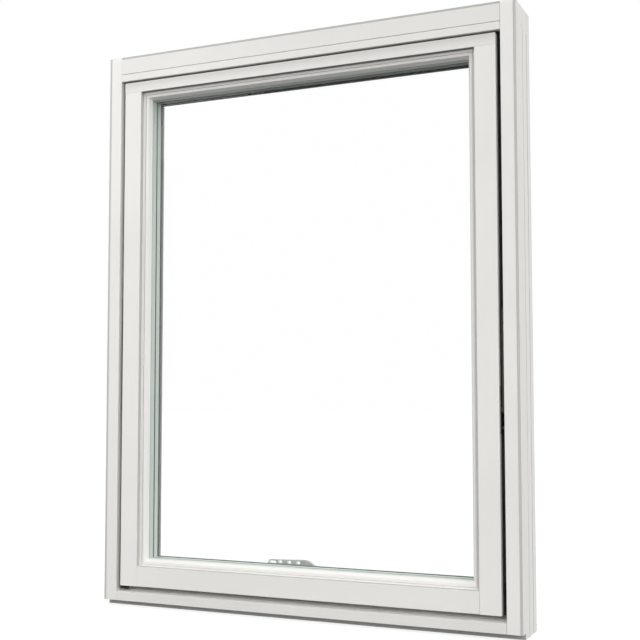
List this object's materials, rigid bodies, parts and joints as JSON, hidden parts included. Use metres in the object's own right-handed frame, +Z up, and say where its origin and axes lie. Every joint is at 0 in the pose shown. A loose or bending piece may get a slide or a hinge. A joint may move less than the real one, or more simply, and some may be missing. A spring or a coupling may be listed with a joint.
{
  "type": "pivot window",
  "caption": "Timber pivot window, closed: rebated outer frame, flush sash with triple glazing and mitred outside beads, pivot arms in the side gaps and a lever handle on the room side.",
  "frame": {"origin": "middle of the frame's flat underside", "axes": "+X to the right seen from outside, +Y from outside towards the room, +Z up"},
  "size_m": [0.98, 0.118, 1.28],
  "materials": {
    "frame_paint": "opaque white paint on planed softwood, low sheen",
    "sash_paint": "opaque white paint on planed softwood, low sheen",
    "bead_paint": "opaque white paint, low sheen",
    "clear_glass": "clear float glass with a faint green edge",
    "spacer_grey": "grey warm-edge spacer bar",
    "gasket_rubber": "black glazing gasket",
    "seal_rubber": "black weather seal",
    "zinc_steel": "black passivated zinc plated strip steel",
    "pin_steel": "turned steel",
    "track_aluminium": "mill finish aluminium",
    "shoe_nylon": "black nylon",
    "handle_metal": "satin chrome"
  },
  "bodies": {
    "root": {"frame_jamb_left": "frame_paint", "frame_jamb_right": "frame_paint", "frame_head": "frame_paint", "frame_head_strip": "frame_paint", "frame_sill": "frame_paint", "corner_pad_left": "seal_rubber", "weather_seal_left": "seal_rubber", "weather_seal_right": "seal_rubber", "weather_seal_top": "seal_rubber", "weather_seal_bottom": "seal_rubber", "sash_stile_left": "sash_paint", "sash_stile_right": "sash_paint", "sash_rail_top": "sash_paint", "sash_rail_bottom": "sash_paint", "glazing_bead_left": "bead_paint", "glazing_bead_right": "bead_paint", "glazing_bead_top": "bead_paint", "glazing_bead_bottom": "bead_paint", "glass_outer": "clear_glass", "glass_middle": "clear_glass", "glass_inner": "clear_glass", "glass_spacer_outer": "spacer_grey", "glass_spacer_inner": "spacer_grey", "glazing_gasket": "gasket_rubber", "pivot_frame_plate_left": "zinc_steel", "pivot_frame_plate_right": "zinc_steel", "pivot_arm_left": "zinc_steel", "pivot_arm_right": "zinc_steel", "pivot_sash_plate_left": "zinc_steel", "pivot_sash_plate_right": "zinc_steel", "pivot_pins_left": "pin_steel", "pivot_pins_right": "pin_steel", "guide_track_left": "track_aluminium", "guide_track_right": "track_aluminium", "guide_shoe_left": "shoe_nylon", "guide_shoe_right": "shoe_nylon", "handle_rose": "handle_metal", "handle_lever": "handle_metal"}
  },
  "joints": []
}
